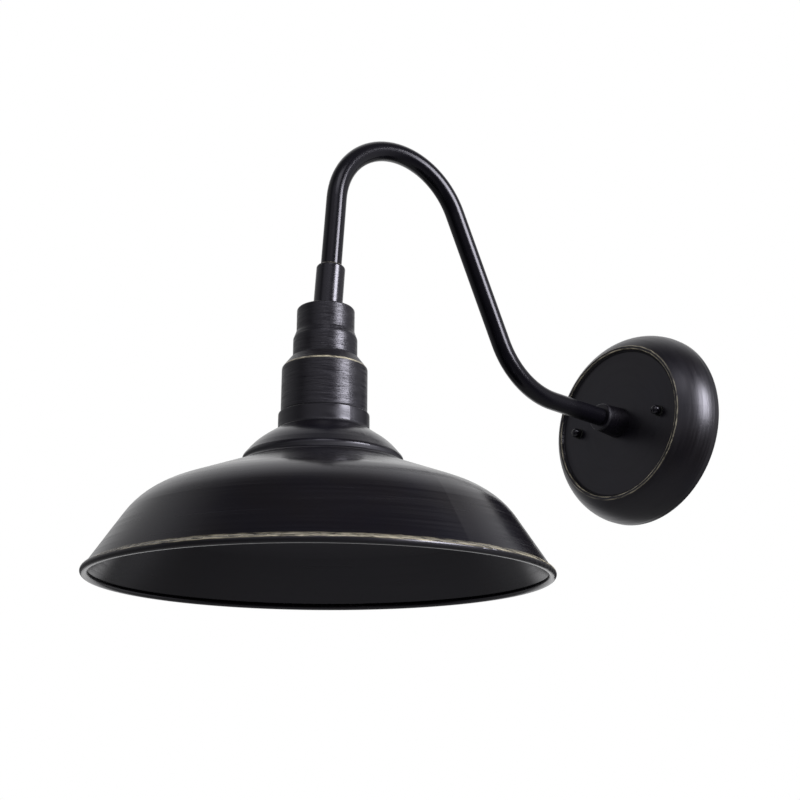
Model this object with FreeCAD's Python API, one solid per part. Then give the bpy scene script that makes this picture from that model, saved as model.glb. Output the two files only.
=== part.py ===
import FreeCAD, Part
import math
import os
from FreeCAD import Vector

# Gooseneck wall sconce: a spun shade and neck on a bent tube arm, carried by a round canopy on the wall.
# Millimetres, +Z up, wall plane at Y = 0 with the room on -Y.  Origin: centre of the canopy's open back.
# The arm lies in the plane X = 0.  The shade hangs on a domed seat and rests TILT degrees off the arm.

# ---- wall canopy (distances named DEPTH are measured out from the wall) ----
CANOPY_R = 81.5                # open back edge
CANOPY_WALL = 1.0              # spun sheet
CANOPY_LIP = 5.0               # straight part of the side next to the wall
FACE_DEPTH = 28.6              # flat face, outer surface
RING_RISE = 3.0                # raised ring stands this far off the face
RING_R = 64.6                  # crest of the ring, middle
RING_CREST = 2.2               # flat width of the crest
RING_SLOPE = 1.4               # radial width of the ring's inner slope
SIDE_BULGE = 3.45              # rounded side stands this far off its own chord

# ---- crossbar bolted to the wall box ----
BAR_T = 2.0
BAR_W = 19.0
BAR_LENGTH = 106.0
BAR_DISC_R = 24.0
BAR_HOLE_R = 13.0              # wires pass here
SLOT_CENTRE = 39.7             # box screws, 70 to 89 mm apart
SLOT_LENGTH = 14.4
SLOT_R = 2.4

# ---- canopy studs and ball nuts, 8-32 thread drawn plain ----
STUD_SPACING = 88.9
STUD_R = 2.085
STUD_FREE = 5.6                # stud beyond the canopy face
STUD_NUT_AF = 8.7
STUD_NUT_T = 3.2
STUD_HOLE_GAP = 0.5            # canopy hole over stud
THREAD_GAP = 0.05              # radial, every drawn-plain thread
SEAL_T = 0.8
SEAL_R = 4.4
SEAL_GAP = 0.25                # washer hole over stud
BALL_R = 4.0
BALL_FOOT_R = 3.5
BALL_FOOT_T = 1.1
BALL_RISE = 3.0                # ball centre above its foot's seat
BORE_END_GAP = 0.4             # blind bore past the stud tip

# ---- ground screw ----
GROUND_X = 29.0
GROUND_R = 2.4
GROUND_HEAD_R = 4.6
GROUND_HEAD_T = 2.8

# ---- pipe fittings, 1/8 pipe thread drawn plain ----
PIPE_R = 5.1
PIPE_BORE = 3.6
LOCK_NUT_AF = 14.3
LOCK_NUT_T = 3.5
BACK_WASHER_R = 12.0
BACK_WASHER_T = 1.5
PIPE_FREE = 9.0                # nipple past the lock nut inside the canopy
BUSH_R = 6.6
BUSH_LENGTH = 4.0
BUSH_LIP = 1.2
BUSH_BORE = 3.3

# ---- arm and its end fittings ----
TUBE_R = 7.4
TUBE_WALL = 1.3
PROJECTION = 322.0             # wall to the arm's drop
APEX_Z = 158.2                 # highest point of the arm's centre line
RISE_ANGLE = 61.2              # slanting run above horizontal
LOWER_BEND = 65.0
TOP_BEND = 58.5
SOCKET_DEPTH = 12.0            # tube inside hub and ferrule
SOCKET_GAP = 0.05
FITTING_SHOULDER = 0.5         # nipple end to tube end
HUB_LENGTH = 21.6              # hub stands this far off the face
HUB_R = 11.3
HUB_FOOT_R = 12.8
HUB_ROUND = 1.2
FERRULE_R = 10.2
FERRULE_REACH = 52.1           # ferrule's top above the centre of the dome it seats on
FERRULE_ROUND = 2.2

# ---- domed seat that the shade hangs on ----
PIVOT_Z = -7.1                 # centre of the dome
TILT = 4.0                     # shade axis off the arm's drop as it hangs
DOME_EDGE_R = 12.5             # dome stands on the neck's flat top
DOME_RISE = 3.85               # pole of the dome above its edge
DOME_SWING = 2.3               # dome's hole round the nipple
SEAT_GAP = 0.3                 # between sliding spherical faces
SEAT_WASHER_T = 0.8
SEAT_WASHER_SWING = 1.8        # saddle washer's hole round the nipple
SEAT_WASHER_INSET = 0.2        # saddle washer inside the ferrule's edge
DOME_WASHER_T = 2.6            # thickness at its pole
NIPPLE_FREE = 3.4              # nipple past its lock nut

# ---- neck and shade, from the rim plane up; a RISE is measured from the corner named before it ----
NECK_WALL = 1.2
SHADE_WALL = 1.4
SEAM_GAP = 0.15                # neck inside the shade's collar
RIM_R = 152.4                  # 12 inch shade
BEAD_R = 2.5                   # rolled rim
SHOULDER_R = 119.6             # corner of the big bowl
BOWL_RISE = 49.2
SHOULDER_ROUND = 53.0
CREASE_R = 54.0                # crease between bowl and small dome
CREASE_RISE = 25.7
CREASE_ROUND = 4.8
CREASE_LENGTH = 5.0
CREASE_TOP_ROUND = 4.0
SMALL_DOME_R = 45.7            # corner of the small dome
SMALL_DOME_RISE = 9.9
SMALL_DOME_ROUND = 45.0
FLARE_RISE = 9.9               # small dome turns up into the collar
FLARE_ROUND = 3.0
SHADE_COLLAR_LENGTH = 11.2
SHADE_COLLAR_ROUND = 0.7       # outer edge of the collar's end
FLANGE_LENGTH = 8.0            # neck's flange under the small dome
NECK_BODY_R = 29.4
NECK_BODY_LENGTH = 32.3        # neck above the shade's collar
SHOULDER_RISE = 7.4            # neck's own sloped shoulder
STEP_OUT = 1.5                 # sharp step under the collar
STEP_RISE = 1.4
COLLAR_OUT = 2.1               # collar stands off the top
COLLAR_LENGTH = 12.9
COLLAR_TAPER = 5.5
NECK_TOP_R = 20.1
NECK_TOP_LENGTH = 17.0         # up to the flat top
NECK_TOP_ROUND = 1.8

# ---- lampholder, medium screw ----
STRAP_DROP = 3.6               # strap's underside below the neck's shoulder
STRAP_T = 1.2
STRAP_W = 12.0
STRAP_TAB = 9.0
HOLDER_R = 20.5
HOLDER_TOP_R = 19.0
HOLDER_TOP_LENGTH = 15.6       # narrower part, down to the shell's floor
HOLDER_SKIRT = 26.0            # wider part, from there to the open end
HOLDER_ROUND = 1.5
SHELL_R = 13.35                # inside of the brass screw shell
SHELL_T = 0.5
SHELL_LENGTH = 23.0
SHELL_CORNER = 1.6             # inside round at its floor
SHELL_FLOOR_HOLE = 7.0
SHELL_GAP = 0.3                # shell in porcelain
CAVITY_R = 11.5                # pocket over the shell's floor
CAVITY_H = 7.0
NOTCH_DEPTH = 2.0              # terminal notches
NOTCH_W = 10.0
NOTCH_H = 13.6
TERMINAL_R = 1.6
TERMINAL_HEAD_R = 3.4
TERMINAL_HEAD_T = 1.8
TERMINAL_DEPTH = 4.0
TERMINAL_DROP = 8.0            # screw below the holder's top
HOLDER_SCREW_X = 9.0
HOLDER_SCREW_R = 1.75
HOLDER_SCREW_HEAD_R = 3.3
HOLDER_SCREW_HEAD_T = 2.0
HOLDER_SCREW_DEPTH = 7.0
LEAF_W = 6.0
LEAF_T = 0.5
LEAF_ROOT_Y = -8.5
LEAF_TIP_Y = 3.0
LEAF_LIFT = 2.6                # leaf above the shell's floor
CONTACT_R = 2.6
CONTACT_DROP = 4.6
CONTACT_ROUND = 1.0
RIVET_R = 1.5
RIVET_GAP = 0.3

# ---- leads ----
LEAD_R = 1.2
LEAD_GAP = 0.8                 # between the two leads
LEAD_TAIL_DEPTH = 6.5
LEAD_TAIL_BEND = 6.0
LEAD_TAIL = 24.0
LEAD_SPREAD = 5.4              # leads part this far below the nipple
LEAD_OVER_STRAP = 5.2          # and turn down to the terminals this far above the strap
LEAD_PAST_SCREW = 2.6
LEAD_BEND = 18.0

# ---- worked out: canopy and arm ----
RING_DEPTH = FACE_DEPTH + RING_RISE
FACE_IN = FACE_DEPTH - CANOPY_WALL
STUD_X = STUD_SPACING / 2
STUD_TIP = FACE_DEPTH + STUD_FREE
LOCK_NUT_FRONT = FACE_IN - BACK_WASHER_T
LOCK_NUT_BACK = LOCK_NUT_FRONT - LOCK_NUT_T
PIPE_END = LOCK_NUT_BACK - PIPE_FREE
HUB_FRONT = FACE_DEPTH + HUB_LENGTH
TUBE_START = HUB_FRONT - SOCKET_DEPTH
FERRULE_TOP_Z = PIVOT_Z + FERRULE_REACH
TUBE_END_Z = FERRULE_TOP_Z - SOCKET_DEPTH

# ---- worked out: heights above the rim plane ----
CREASE_H = BOWL_RISE + CREASE_RISE
CREASE_TOP_H = CREASE_H + CREASE_LENGTH
SMALL_DOME_H = CREASE_TOP_H + SMALL_DOME_RISE
FLARE_H = SMALL_DOME_H + FLARE_RISE
SHADE_COLLAR_H = FLARE_H + SHADE_COLLAR_LENGTH
SHOULDER_H = SHADE_COLLAR_H + NECK_BODY_LENGTH
STEP_H = SHOULDER_H + SHOULDER_RISE
COLLAR_FOOT_H = STEP_H + STEP_RISE
COLLAR_FULL_H = COLLAR_FOOT_H + COLLAR_LENGTH
COLLAR_TOP_H = COLLAR_FULL_H + COLLAR_TAPER
DOME_EDGE_H = COLLAR_TOP_H + NECK_TOP_LENGTH
STRAP_H = SHOULDER_H - STRAP_DROP
SHELL_FLOOR_H = STRAP_H - HOLDER_TOP_LENGTH
HOLDER_H = SHELL_FLOOR_H - HOLDER_SKIRT
TERMINAL_H = STRAP_H - TERMINAL_DROP

# ---- worked out: radii of the seat, neck and shade ----
DOME_R = (DOME_EDGE_R ** 2 + DOME_RISE ** 2) / (2 * DOME_RISE)
PIVOT_H = DOME_EDGE_H + DOME_RISE - DOME_R
SEAT_WASHER_IN = DOME_R + SEAT_GAP
SEAT_WASHER_OUT = SEAT_WASHER_IN + SEAT_WASHER_T
FERRULE_SEAT = SEAT_WASHER_OUT + SEAT_GAP
DOME_WASHER_R = DOME_R - NECK_WALL - SEAT_GAP
DOME_WASHER_FLAT = DOME_WASHER_R - DOME_WASHER_T
SWIVEL_NIPPLE_END = DOME_WASHER_FLAT - LOCK_NUT_T - NIPPLE_FREE
NECK_COLLAR_R = NECK_TOP_R + COLLAR_OUT
STEP_R = NECK_COLLAR_R + STEP_OUT
SHADE_COLLAR_R = NECK_BODY_R + SEAM_GAP + SHADE_WALL
FLARE_ANGLE = math.atan2(FLARE_RISE, SMALL_DOME_R - SHADE_COLLAR_R)
SHELL_OUT = SHELL_R + SHELL_T
NOTCH_Y = HOLDER_TOP_R - NOTCH_DEPTH
LEAD_X = LEAD_R + LEAD_GAP / 2
LEAD_TERMINAL_Y = NOTCH_Y + LEAD_R

ARC_SHARE = 0.98               # most of a line that the arcs at its ends may take
AXIS = Vector(0, 0, 1)
ORIGIN = Vector(0, 0, 0)


# ---- profile helpers: a profile is drawn as (radius, height) in the XZ plane ----
def pt(p):
    return Vector(p[0], 0, p[1])


def chain(points, rounds):
    """Lines through the points, with a tangent arc of its own radius at each inner one (0 keeps it sharp).
    Where a line is too short for the arcs at its two ends, both are made smaller."""
    halves = [0.0] * len(points)
    reaches = [0.0] * len(points)
    for i in range(1, len(points) - 1):
        halves[i] = (points[i - 1] - points[i]).getAngle(points[i + 1] - points[i]) / 2
        reaches[i] = rounds[i - 1] / math.tan(halves[i])
    for i in range(len(points) - 1):
        used = reaches[i] + reaches[i + 1]
        room = ARC_SHARE * points[i].distanceToPoint(points[i + 1])
        if used > room:
            reaches[i] *= room / used
            reaches[i + 1] *= room / used
    edges = []
    start = points[0]
    for i in range(1, len(points) - 1):
        if reaches[i] <= 0:
            edges.append(Part.LineSegment(start, points[i]).toShape())
            start = points[i]
            continue
        before = (points[i - 1] - points[i]).normalize()
        after = (points[i + 1] - points[i]).normalize()
        radius = reaches[i] * math.tan(halves[i])
        middle = points[i] + (before + after).normalize() * (radius / math.sin(halves[i]) - radius)
        first = points[i] + before * reaches[i]
        last = points[i] + after * reaches[i]
        edges.append(Part.LineSegment(start, first).toShape())
        edges.append(Part.Arc(first, middle, last).toShape())
        start = last
    edges.append(Part.LineSegment(start, points[-1]).toShape())
    return edges


def rounded(corners, rounds):
    """Edges through (radius, height) corners, each inner corner rounded by its radius."""
    return chain([pt(c) for c in corners], rounds)


def turned(corners, rounds=None):
    """Solid of revolution about Z of the closed outline through the corners."""
    if rounds is None:
        rounds = [0] * (len(corners) - 1)
    edges = rounded(list(corners) + [corners[0]], rounds)
    return Part.Face(Part.Wire(edges)).revolve(ORIGIN, AXIS, 360)


def sheet(edges, wall):
    """Section of sheet metal of one thickness, its outer face along the edges."""
    return Part.Wire(edges).makeOffset2D(-wall, 2, True, True, False)


def spun(edges, wall):
    """Sheet metal of one thickness, turned about Z; the edges run outwards along the outer face."""
    return sheet(edges, wall).revolve(ORIGIN, AXIS, 360)


def tube(outer, inner, low, high):
    body = Part.makeCylinder(outer, high - low, Vector(0, 0, low))
    return body.cut(Part.makeCylinder(inner, high - low, Vector(0, 0, low)))


def hexagon(across_flats, low, high, bore):
    corner = across_flats / math.sqrt(3)
    ring = [Vector(corner * math.cos(math.radians(60 * k)), corner * math.sin(math.radians(60 * k)), low)
            for k in range(7)]
    prism = Part.Face(Part.makePolygon(ring)).extrude(Vector(0, 0, high - low))
    return prism.cut(Part.makeCylinder(bore, high - low, Vector(0, 0, low)))


def on_wall(shape, x=0.0):
    """A shape made along +Z as depth from the wall, turned to point into the room at this X."""
    shape.rotate(ORIGIN, Vector(1, 0, 0), 90)
    shape.translate(Vector(x, 0, 0))
    return shape


def on_pivot(shape):
    """A shape made about the dome's centre, moved to the arm's end."""
    shape.translate(Vector(0, -PROJECTION, PIVOT_Z))
    return shape


def on_head(shape):
    """A shape made with heights above the rim plane, hung on the dome with the shade's tilt."""
    shape.translate(Vector(0, 0, -PIVOT_H))
    shape.rotate(ORIGIN, Vector(1, 0, 0), TILT)
    return on_pivot(shape)


def save(shape, name):
    shape.exportStep("parts/" + name + ".step")


# ---- canopy and what holds it ----
def make_canopy():
    ring_in = RING_R - RING_CREST / 2
    ring_out = RING_R + RING_CREST / 2
    face = rounded(
        [(PIPE_R + THREAD_GAP, FACE_DEPTH), (ring_in - RING_SLOPE, FACE_DEPTH), (ring_in, RING_DEPTH),
         (ring_out, RING_DEPTH)],
        [1.2, 0.6])
    top = pt((ring_out, RING_DEPTH))
    bottom = pt((CANOPY_R, CANOPY_LIP))
    outward = (bottom - top).cross(Vector(0, 1, 0)).normalize()
    side = Part.Arc(top, (top + bottom) / 2 + outward * SIDE_BULGE, bottom)
    lip = Part.LineSegment(bottom, pt((CANOPY_R, 0)))
    canopy = spun(face + [side.toShape(), lip.toShape()], CANOPY_WALL)
    for x in (-STUD_X, STUD_X):
        hole = Part.makeCylinder(STUD_R + STUD_HOLE_GAP, RING_DEPTH, Vector(x, 0, 0))
        canopy = canopy.cut(hole)
    return on_wall(canopy)


def make_bar():
    """Stamped cross: studs on the level arm, box-screw slots in the upright one."""
    level = Part.makeBox(BAR_LENGTH, BAR_W, BAR_T, Vector(-BAR_LENGTH / 2, -BAR_W / 2, 0))
    upright = Part.makeBox(BAR_W, BAR_LENGTH, BAR_T, Vector(-BAR_W / 2, -BAR_LENGTH / 2, 0))
    bar = level.fuse([upright, Part.makeCylinder(BAR_DISC_R, BAR_T)]).removeSplitter()
    corners = [e for e in bar.Edges if abs(e.BoundBox.ZLength - BAR_T) < 1e-6
               and max(abs(e.BoundBox.XMin), abs(e.BoundBox.YMin)) > BAR_LENGTH / 2 - 1]
    bar = bar.makeFillet(BAR_W / 4, corners)
    holes = [Part.makeCylinder(BAR_HOLE_R, BAR_T), Part.makeCylinder(GROUND_R, BAR_T, Vector(GROUND_X, 0, 0))]
    run = SLOT_LENGTH / 2 - SLOT_R
    for side in (-1, 1):
        holes.append(Part.makeCylinder(STUD_R, BAR_T, Vector(side * STUD_X, 0, 0)))
        centre = side * SLOT_CENTRE
        holes.append(Part.makeBox(2 * SLOT_R, 2 * run, BAR_T, Vector(-SLOT_R, centre - run, 0)))
        for end in (-run, run):
            holes.append(Part.makeCylinder(SLOT_R, BAR_T, Vector(0, centre + end, 0)))
    return on_wall(bar.cut(holes))


def make_stud(x):
    return on_wall(Part.makeCylinder(STUD_R, STUD_TIP), x)


def make_stud_nut(x):
    return on_wall(hexagon(STUD_NUT_AF, BAR_T, BAR_T + STUD_NUT_T, STUD_R + THREAD_GAP), x)


def make_seal(x):
    return on_wall(tube(SEAL_R, STUD_R + SEAL_GAP, FACE_DEPTH, FACE_DEPTH + SEAL_T), x)


def make_ball_nut(x):
    """Ball-headed cap nut with a blind bore."""
    seat = FACE_DEPTH + SEAL_T
    ball = Part.makeSphere(BALL_R, Vector(0, 0, seat + BALL_RISE))
    below = Part.makeCylinder(2 * BALL_R, BALL_R, Vector(0, 0, seat - BALL_R))
    nut = ball.cut(below).fuse(Part.makeCylinder(BALL_FOOT_R, BALL_FOOT_T, Vector(0, 0, seat)))
    bore = Part.makeCylinder(STUD_R + THREAD_GAP, STUD_TIP + BORE_END_GAP - seat, Vector(0, 0, seat))
    return on_wall(nut.cut(bore), x)


def make_ground_screw():
    top = BAR_T + GROUND_HEAD_T
    head = turned([(0, BAR_T), (GROUND_HEAD_R, BAR_T), (GROUND_HEAD_R, top), (0, top)], [0, 1.0, 0])
    return on_wall(head.fuse(Part.makeCylinder(GROUND_R, BAR_T + 1)), GROUND_X)


# ---- arm, hub and fittings ----
def make_hub():
    """Turned collar: tube socket in front, pipe thread behind."""
    hub = turned([(0, FACE_DEPTH), (HUB_FOOT_R, FACE_DEPTH), (HUB_R, HUB_FRONT), (0, HUB_FRONT)],
                 [0, HUB_ROUND, 0])
    hub = hub.cut(Part.makeCylinder(TUBE_R + SOCKET_GAP, SOCKET_DEPTH, Vector(0, 0, TUBE_START)))
    return on_wall(hub.cut(Part.makeCylinder(PIPE_R + THREAD_GAP, HUB_FRONT, ORIGIN)))


def make_canopy_nipple():
    return on_wall(tube(PIPE_R, PIPE_BORE, PIPE_END, TUBE_START - FITTING_SHOULDER))


def make_back_washer():
    return on_wall(tube(BACK_WASHER_R, PIPE_R + THREAD_GAP, LOCK_NUT_FRONT, FACE_IN))


def make_arm_lock_nut():
    return on_wall(hexagon(LOCK_NUT_AF, LOCK_NUT_BACK, LOCK_NUT_FRONT, PIPE_R + THREAD_GAP))


def make_wire_bushing():
    """Plastic cap on the nipple's end, so that the leads leave over a smooth lip."""
    back = PIPE_END - BUSH_LIP
    return on_wall(turned([(BUSH_BORE, back), (BUSH_R, back), (BUSH_R, back + BUSH_LENGTH),
                           (PIPE_R + THREAD_GAP, back + BUSH_LENGTH), (PIPE_R + THREAD_GAP, PIPE_END),
                           (BUSH_BORE, PIPE_END)], [0.8, 0.4, 0, 0, 0]))


def arm_line(x, start, end_z):
    """Centre line in the plane X = x: out of the hub, up the slant, over the top and straight down."""
    rise = math.radians(RISE_ANGLE)
    slant = (APEX_Z - (LOWER_BEND + TOP_BEND) * (1 - math.cos(rise))) / math.sin(rise)
    bend_y = PROJECTION - TOP_BEND - (LOWER_BEND + TOP_BEND) * math.sin(rise) - slant * math.cos(rise)
    top_y = PROJECTION - TOP_BEND
    top_z = APEX_Z - TOP_BEND

    def low(angle):
        return Vector(x, -bend_y - LOWER_BEND * math.sin(angle), LOWER_BEND * (1 - math.cos(angle)))

    def top(angle):
        return Vector(x, -top_y + TOP_BEND * math.sin(angle), top_z + TOP_BEND * math.cos(angle))

    quarter = math.pi / 2
    return [Part.LineSegment(Vector(x, -start, 0), low(0)).toShape(),
            Part.Arc(low(0), low(rise / 2), low(rise)).toShape(),
            Part.LineSegment(low(rise), top(rise)).toShape(),
            Part.Arc(top(rise), top((rise - quarter) / 2), top(-quarter)).toShape(),
            Part.LineSegment(top(-quarter), Vector(x, -PROJECTION, end_z)).toShape()]


def swept(edges, radius):
    """Round bar along a chain of tangent lines and arcs."""
    path = Part.Wire(edges)
    first = edges[0]
    begin = first.valueAt(first.FirstParameter)
    heading = first.tangentAt(first.FirstParameter)
    circle = Part.Wire(Part.makeCircle(radius, begin, heading))
    return path.makePipeShell([circle], True, True)


def make_arm():
    line = arm_line(0.0, TUBE_START, TUBE_END_Z)
    return swept(line, TUBE_R).cut(swept(line, TUBE_R - TUBE_WALL))


def make_ferrule():
    """Turned end piece: tube socket above, concave seat below."""
    low = PIVOT_Z + DOME_R / 2
    body = turned([(0, low), (FERRULE_R, low), (FERRULE_R, FERRULE_TOP_Z), (0, FERRULE_TOP_Z)],
                  [0, FERRULE_ROUND, 0])
    body = body.cut(Part.makeSphere(FERRULE_SEAT, Vector(0, 0, PIVOT_Z)))
    body = body.cut(Part.makeCylinder(TUBE_R + SOCKET_GAP, SOCKET_DEPTH, Vector(0, 0, TUBE_END_Z)))
    body = body.cut(Part.makeCylinder(PIPE_R + THREAD_GAP, FERRULE_TOP_Z))
    body.translate(Vector(0, -PROJECTION, 0))
    return body


def make_swivel_nipple():
    nipple = tube(PIPE_R, PIPE_BORE, PIVOT_Z + SWIVEL_NIPPLE_END, TUBE_END_Z - FITTING_SHOULDER)
    nipple.translate(Vector(0, -PROJECTION, 0))
    return nipple


def make_seat_washer():
    """Thin saddle of a hollow sphere between ferrule and dome."""
    washer = Part.makeSphere(SEAT_WASHER_OUT).cut(Part.makeSphere(SEAT_WASHER_IN))
    keep = tube(FERRULE_R - SEAT_WASHER_INSET, PIPE_R + SEAT_WASHER_SWING, 0, FERRULE_SEAT)
    return on_pivot(washer.common(keep))


def make_dome_washer():
    """Plano-convex washer pulled up against the inside of the dome."""
    washer = Part.makeSphere(DOME_WASHER_R)
    keep = tube(DOME_WASHER_R, PIPE_R + THREAD_GAP, DOME_WASHER_FLAT, DOME_R)
    return on_pivot(washer.common(keep))


def make_swivel_lock_nut():
    return on_pivot(hexagon(LOCK_NUT_AF, DOME_WASHER_FLAT - LOCK_NUT_T, DOME_WASHER_FLAT,
                            PIPE_R + THREAD_GAP))


# ---- neck and shade ----
def make_neck():
    """Spun neck: flat top with a small dome, collar, step and shoulder, body, and a flange under the shade."""
    def on_dome(radius):
        return pt((radius, PIVOT_H + math.sqrt(DOME_R ** 2 - radius ** 2)))

    hole = PIPE_R + DOME_SWING
    dome = Part.Arc(on_dome(hole), on_dome((hole + DOME_EDGE_R) / 2), on_dome(DOME_EDGE_R)).toShape()
    inset = SHADE_WALL + SEAM_GAP
    corner_h = FLARE_H - inset * (1 - math.sin(FLARE_ANGLE)) / math.cos(FLARE_ANGLE)
    flange = (NECK_BODY_R + FLANGE_LENGTH * math.cos(FLARE_ANGLE),
              corner_h - FLANGE_LENGTH * math.sin(FLARE_ANGLE))
    body = rounded(
        [(DOME_EDGE_R, DOME_EDGE_H), (NECK_TOP_R, DOME_EDGE_H), (NECK_TOP_R, COLLAR_TOP_H),
         (NECK_COLLAR_R, COLLAR_FULL_H),
         (NECK_COLLAR_R, COLLAR_FOOT_H), (STEP_R, STEP_H), (NECK_BODY_R, SHOULDER_H),
         (NECK_BODY_R, corner_h), flange],
        [NECK_TOP_ROUND, 4.0, 4.0, 0, 0, 2.5, FLARE_ROUND + inset])
    return on_head(spun([dome] + body, NECK_WALL))


def make_shade():
    """Spun shade: crimped collar, small dome, crease, wide bowl and a rolled rim."""
    bead_r = RIM_R - BEAD_R
    outline = rounded(
        [(SHADE_COLLAR_R, SHADE_COLLAR_H), (SHADE_COLLAR_R, FLARE_H),
         (SMALL_DOME_R, SMALL_DOME_H), (CREASE_R, CREASE_TOP_H), (CREASE_R, CREASE_H),
         (SHOULDER_R, BOWL_RISE), (bead_r + BEAD_R / 2, BEAD_R / 4)],
        [FLARE_ROUND, SMALL_DOME_ROUND, CREASE_TOP_ROUND, CREASE_ROUND, SHOULDER_ROUND])
    bead = Part.Face(Part.Wire(Part.makeCircle(BEAD_R, pt((bead_r, 0)), Vector(0, 1, 0))))
    section = sheet(outline, SHADE_WALL).fuse(bead).removeSplitter()
    shade = section.Faces[0].revolve(ORIGIN, AXIS, 360)
    edge = [e for e in shade.Edges if abs(e.BoundBox.ZMin - SHADE_COLLAR_H) < 1e-6
            and abs(e.BoundBox.ZMax - SHADE_COLLAR_H) < 1e-6
            and abs(e.BoundBox.XMax - SHADE_COLLAR_R) < 1e-3]
    return on_head(shade.makeFillet(SHADE_COLLAR_ROUND, edge))


# ---- lampholder ----
def make_strap():
    """Strap across the neck, its ends turned down along the wall and spot-welded there."""
    reach = NECK_BODY_R - NECK_WALL
    top = STRAP_H + STRAP_T
    outer = Part.makeCylinder(reach, STRAP_TAB, Vector(0, 0, top - STRAP_TAB))
    inner = Part.makeCylinder(reach - STRAP_T, STRAP_TAB - STRAP_T, Vector(0, 0, top - STRAP_TAB))
    width = Part.makeBox(2 * reach, STRAP_W, STRAP_TAB, Vector(-reach, -STRAP_W / 2, top - STRAP_TAB))
    strap = outer.cut(inner).common(width)
    for side in (-1, 1):
        strap = strap.cut(Part.makeCylinder(HOLDER_SCREW_R + THREAD_GAP, STRAP_T,
                                            Vector(side * HOLDER_SCREW_X, 0, STRAP_H)))
    rivet = Part.makeCylinder(RIVET_R + RIVET_GAP, STRAP_T, Vector(0, LEAF_ROOT_Y, STRAP_H))
    return on_head(strap.cut(rivet))


def make_holder():
    """Porcelain body: shell bore, contact pocket, terminal notches and screw holes."""
    floor = SHELL_FLOOR_H
    body = turned([(0, HOLDER_H), (HOLDER_R, HOLDER_H), (HOLDER_R, floor), (HOLDER_TOP_R, floor),
                   (HOLDER_TOP_R, STRAP_H), (0, STRAP_H)],
                  [HOLDER_ROUND, HOLDER_ROUND / 2, 0, HOLDER_ROUND, 0])
    cuts = [Part.makeCylinder(SHELL_OUT + SHELL_GAP, floor - HOLDER_H, Vector(0, 0, HOLDER_H)),
            Part.makeCylinder(CAVITY_R, CAVITY_H, Vector(0, 0, floor)),
            Part.makeCylinder(RIVET_R, STRAP_H - floor, Vector(0, LEAF_ROOT_Y, floor))]
    for side in (-1, 1):
        near = min(side * NOTCH_Y, side * HOLDER_R)
        cuts.append(Part.makeBox(NOTCH_W, HOLDER_R - NOTCH_Y, NOTCH_H,
                                 Vector(-NOTCH_W / 2, near, STRAP_H - NOTCH_H)))
        cuts.append(Part.makeCylinder(TERMINAL_R, TERMINAL_DEPTH,
                                      Vector(0, side * (NOTCH_Y - TERMINAL_DEPTH), TERMINAL_H),
                                      Vector(0, side, 0)))
        cuts.append(Part.makeCylinder(HOLDER_SCREW_R, HOLDER_SCREW_DEPTH,
                                      Vector(side * HOLDER_SCREW_X, 0, STRAP_H - HOLDER_SCREW_DEPTH)))
    return on_head(body.cut(cuts))


def make_shell():
    """Drawn brass screw shell: plain wall, rounded corner and annular floor."""
    floor = SHELL_FLOOR_H
    mouth = floor - SHELL_LENGTH
    return on_head(turned([(SHELL_FLOOR_HOLE, floor - SHELL_T), (SHELL_R, floor - SHELL_T), (SHELL_R, mouth),
                           (SHELL_OUT, mouth), (SHELL_OUT, floor), (SHELL_FLOOR_HOLE, floor)],
                          [SHELL_CORNER, 0, 0, SHELL_CORNER + SHELL_T, 0]))


def make_contact():
    """Sprung leaf with the centre contact pressed down at its tip."""
    low = SHELL_FLOOR_H + LEAF_LIFT
    leaf = Part.makeBox(LEAF_W, LEAF_TIP_Y - LEAF_ROOT_Y + RIVET_R, LEAF_T,
                        Vector(-LEAF_W / 2, LEAF_ROOT_Y - RIVET_R, low))
    button = turned([(0, low - CONTACT_DROP), (CONTACT_R, low - CONTACT_DROP), (CONTACT_R, low + LEAF_T),
                     (0, low + LEAF_T)], [CONTACT_ROUND, 0, 0])
    return on_head(leaf.fuse(button).removeSplitter())


def make_contact_rivet():
    low = SHELL_FLOOR_H + LEAF_LIFT + LEAF_T + RIVET_GAP
    return on_head(Part.makeCylinder(RIVET_R, STRAP_H - low, Vector(0, LEAF_ROOT_Y, low)))


def make_terminal_screw(side):
    """Binding screw in a notch, the lead's end held beside its shank."""
    face = NOTCH_Y + 2 * LEAD_R
    shank = Part.makeCylinder(TERMINAL_R, TERMINAL_DEPTH + 2 * LEAD_R,
                              Vector(0, side * (NOTCH_Y - TERMINAL_DEPTH), TERMINAL_H), Vector(0, side, 0))
    head = Part.makeCylinder(TERMINAL_HEAD_R, TERMINAL_HEAD_T, Vector(0, side * face, TERMINAL_H),
                             Vector(0, side, 0))
    return on_head(shank.fuse(head))


def make_holder_screws():
    screws = []
    for side in (-1, 1):
        x = side * HOLDER_SCREW_X
        shank = Part.makeCylinder(HOLDER_SCREW_R, HOLDER_SCREW_DEPTH + STRAP_T,
                                  Vector(x, 0, STRAP_H - HOLDER_SCREW_DEPTH))
        head = Part.makeCylinder(HOLDER_SCREW_HEAD_R, HOLDER_SCREW_HEAD_T, Vector(x, 0, STRAP_H + STRAP_T))
        screws.append(shank.fuse(head))
    return on_head(Part.makeCompound(screws))


# ---- leads ----
def head_point(x, y, height):
    """World position of a point given in the shade's own frame."""
    tilt = math.radians(TILT)
    z = height - PIVOT_H
    return Vector(x, -PROJECTION + y * math.cos(tilt) - z * math.sin(tilt),
                  PIVOT_Z + y * math.sin(tilt) + z * math.cos(tilt))


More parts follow.
